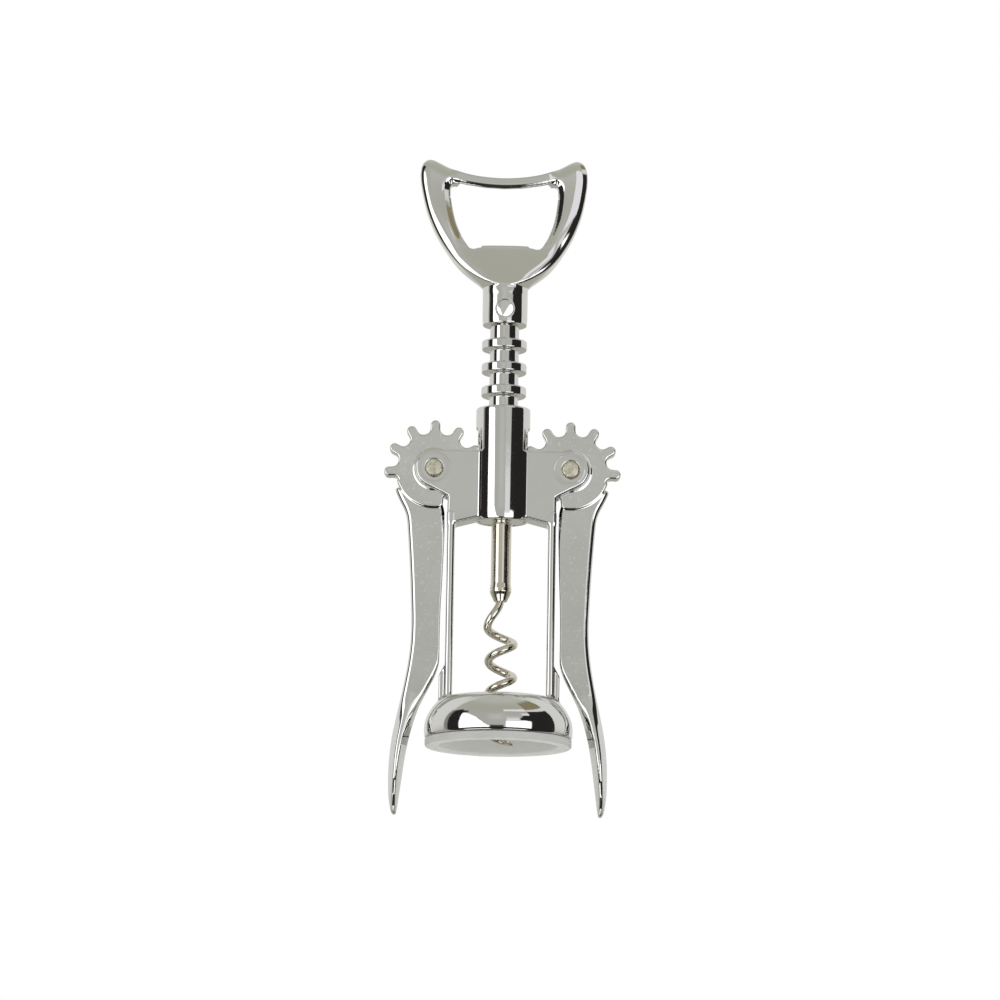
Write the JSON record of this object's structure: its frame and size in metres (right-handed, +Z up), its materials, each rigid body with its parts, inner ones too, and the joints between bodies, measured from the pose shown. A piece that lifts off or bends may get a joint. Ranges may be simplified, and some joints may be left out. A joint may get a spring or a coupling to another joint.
{
  "type": "wing corkscrew",
  "caption": "Chrome wing corkscrew: ringed rack in a slotted barrel, two geared levers, bell foot, wire worm and bottle-opener handle.",
  "frame": {"origin": "centre of the bell's open mouth, in the plane of the liner's rim", "axes": "+Z up along the worm towards the handle, X across the two levers, Y from front to back"},
  "size_m": [0.0628, 0.0392, 0.1766],
  "materials": {
    "chrome_casting": "bright chrome plate on a zinc casting",
    "chrome_lever": "bright chrome plate on a zinc casting",
    "chrome_rack": "bright chrome plate",
    "chrome_handle": "bright chrome plate on a zinc casting",
    "nickel_steel": "nickel plated steel wire and bar",
    "rivet_steel": "plain peened steel",
    "liner_plastic": "light grey moulded plastic"
  },
  "bodies": {
    "frame": {"frame_barrel": "chrome_casting", "left_leg": "chrome_casting", "right_leg": "chrome_casting", "bell": "chrome_casting", "bell_liner": "liner_plastic", "left_pivot_rivet": "rivet_steel", "right_pivot_rivet": "rivet_steel"},
    "rack_carriage": {"rack": "chrome_rack"},
    "screw": {"opener_handle": "chrome_handle", "handle_pin": "chrome_handle", "spindle": "nickel_steel", "worm": "nickel_steel"},
    "left_wing": {"left_lever": "chrome_lever"},
    "right_wing": {"right_lever": "chrome_lever"}
  },
  "joints": [
    {"name": "rack_slide", "type": "slide", "parent": "frame", "child": "rack_carriage", "axis": [0, 0, -1], "range_m": [0, 0.03]},
    {"name": "handle_turn", "type": "hinge", "parent": "rack_carriage", "child": "screw", "pos_m": [0, 0, 0.117], "axis": [0, 0, 1], "continuous": true},
    {"name": "left_wing_pivot", "type": "hinge", "parent": "frame", "child": "left_wing", "pos_m": [-0.0181, 0, 0.07385], "axis": [0, 1, 0], "range_deg": [0, 149.5]},
    {"name": "right_wing_pivot", "type": "hinge", "parent": "frame", "child": "right_wing", "pos_m": [0.0181, 0, 0.07385], "axis": [0, -1, 0], "range_deg": [0, 149.5]}
  ],
  "couplings": [
    {"joint": "left_wing_pivot", "follows": "rack_slide", "rad_per_m": 86.957},
    {"joint": "right_wing_pivot", "follows": "rack_slide", "rad_per_m": 86.957}
  ]
}
